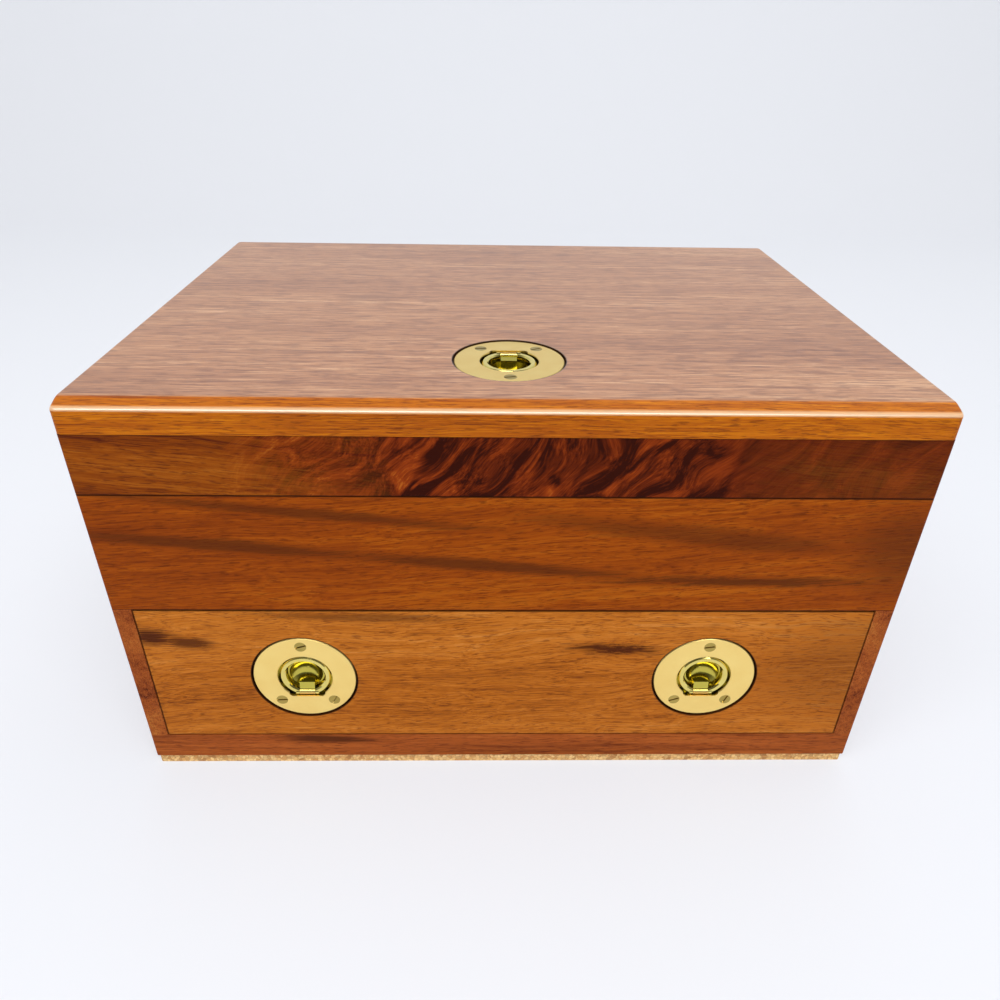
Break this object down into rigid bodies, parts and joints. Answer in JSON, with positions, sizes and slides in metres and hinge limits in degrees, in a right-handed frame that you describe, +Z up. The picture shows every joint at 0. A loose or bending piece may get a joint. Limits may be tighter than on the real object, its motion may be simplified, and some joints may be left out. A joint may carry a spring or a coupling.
{
  "type": "musical jewelry box",
  "caption": "Walnut musical jewelry box with a lift-up mirrored lid, lift-out tray, front drawer, brass flush ring pulls and a wind-up comb movement at the back.",
  "frame": {"origin": "middle of the underside of the cork base", "axes": "+X to the right seen from the drawer's side, +Y to the hinged back, +Z up"},
  "size_m": [0.3206, 0.2573, 0.1815],
  "materials": {
    "walnut": "oiled walnut, satin",
    "drawer_wood": "plain beech, matt",
    "plywood": "birch plywood, matt",
    "cork": "granular cork, matt",
    "velvet": "burgundy velvet",
    "mirror": "silvered glass",
    "clear_plastic": "clear acrylic",
    "brass": "satin brass",
    "cast_plate": "cast zinc, matt",
    "steel": "bright steel"
  },
  "bodies": {
    "case": {"side_panel_left": "walnut", "side_panel_right": "walnut", "upper_front_board": "walnut", "bottom_rail": "walnut", "back_panel": "walnut", "cork_base": "cork", "bottom_panel": "plywood", "divider_shelf": "plywood", "drawer_runners": "drawer_wood", "drawer_stops": "drawer_wood", "tray_ledges": "walnut", "well_linings": "velvet", "music_bay_walls": "walnut", "music_bay_cover": "clear_plastic", "hinge_case_leaves": "brass", "hinge_case_screws": "brass", "hinge_pins": "brass", "music_bedplate": "cast_plate", "spring_housing": "steel", "music_comb": "steel", "music_works_screws": "steel", "governor_frame": "steel"},
    "lid": {"lid_board": "walnut", "lid_rail_front": "walnut", "lid_rail_back": "walnut", "lid_rail_left": "walnut", "lid_rail_right": "walnut", "lid_lining_board": "plywood", "lid_mirror": "mirror", "mirror_beading": "walnut", "lid_pull_plate": "brass", "lid_pull_pin": "brass", "lid_pull_screws": "brass", "hinge_lid_leaves": "brass", "hinge_lid_screws": "brass"},
    "lid_ring": {"lid_pull_ring": "brass"},
    "drawer": {"drawer_front": "walnut", "drawer_side_left": "drawer_wood", "drawer_side_right": "drawer_wood", "drawer_back": "drawer_wood", "drawer_bottom": "plywood", "drawer_lining": "velvet", "drawer_pull_plate_left": "brass", "drawer_pull_plate_right": "brass", "drawer_pull_pins": "brass", "drawer_pull_screws": "brass"},
    "drawer_ring_left": {"drawer_pull_ring_left": "brass"},
    "drawer_ring_right": {"drawer_pull_ring_right": "brass"},
    "tray": {"tray_frame": "walnut", "tray_floor": "plywood", "tray_dividers": "walnut", "ring_rolls": "velvet", "tray_linings": "velvet"},
    "key": {"winding_key": "brass", "crown_wheel_and_arbor": "brass"},
    "cylinder": {"music_cylinder": "brass"},
    "governor": {"governor_wheel": "brass"},
    "fan": {"governor_fan": "steel"},
    "plunger": {"stop_plunger": "steel"}
  },
  "joints": [
    {"name": "lid_hinge", "type": "hinge", "parent": "case", "child": "lid", "pos_m": [0, 0.1224, 0.14465], "axis": [-1, 0, 0], "range_deg": [0, 95]},
    {"name": "lid_ring_hinge", "type": "hinge", "parent": "lid", "child": "lid_ring", "pos_m": [0, -0.0658, 0.1796], "axis": [-1, 0, 0], "range_deg": [0, 90]},
    {"name": "drawer_slide", "type": "slide", "parent": "case", "child": "drawer", "axis": [0, -1, 0], "range_m": [0, 0.15]},
    {"name": "drawer_ring_left_hinge", "type": "hinge", "parent": "drawer", "child": "drawer_ring_left", "pos_m": [-0.0865, -0.1181, 0.044], "axis": [1, 0, 0], "range_deg": [0, 90]},
    {"name": "drawer_ring_right_hinge", "type": "hinge", "parent": "drawer", "child": "drawer_ring_right", "pos_m": [0.0865, -0.1181, 0.044], "axis": [1, 0, 0], "range_deg": [0, 90]},
    {"name": "tray_lift", "type": "slide", "parent": "case", "child": "tray", "axis": [0, 0, 1], "range_m": [0, 0.018]},
    {"name": "key_turn", "type": "hinge", "parent": "case", "child": "key", "pos_m": [-0.017, 0.12, 0.115], "axis": [0, 1, 0], "continuous": true},
    {"name": "cylinder_turn", "type": "hinge", "parent": "case", "child": "cylinder", "pos_m": [0.006, 0.0947, 0.115], "axis": [1, 0, 0], "continuous": true},
    {"name": "governor_turn", "type": "hinge", "parent": "case", "child": "governor", "pos_m": [0.02, 0.0947, 0.1068], "axis": [1, 0, 0], "continuous": true},
    {"name": "fan_turn", "type": "hinge", "parent": "case", "child": "fan", "pos_m": [0.02575, 0.0891, 0.115], "axis": [0, 0, 1], "continuous": true},
    {"name": "plunger_rise", "type": "slide", "parent": "case", "child": "plunger", "axis": [0, 0, 1], "range_m": [0, 0.002]}
  ],
  "couplings": [
    {"joint": "cylinder_turn", "follows": "key_turn", "ratio": -3},
    {"joint": "governor_turn", "follows": "key_turn", "ratio": 12.375},
    {"joint": "fan_turn", "follows": "key_turn", "ratio": 247.5},
    {"joint": "plunger_rise", "follows": "lid_hinge", "m_per_rad": 0.0012}
  ]
}
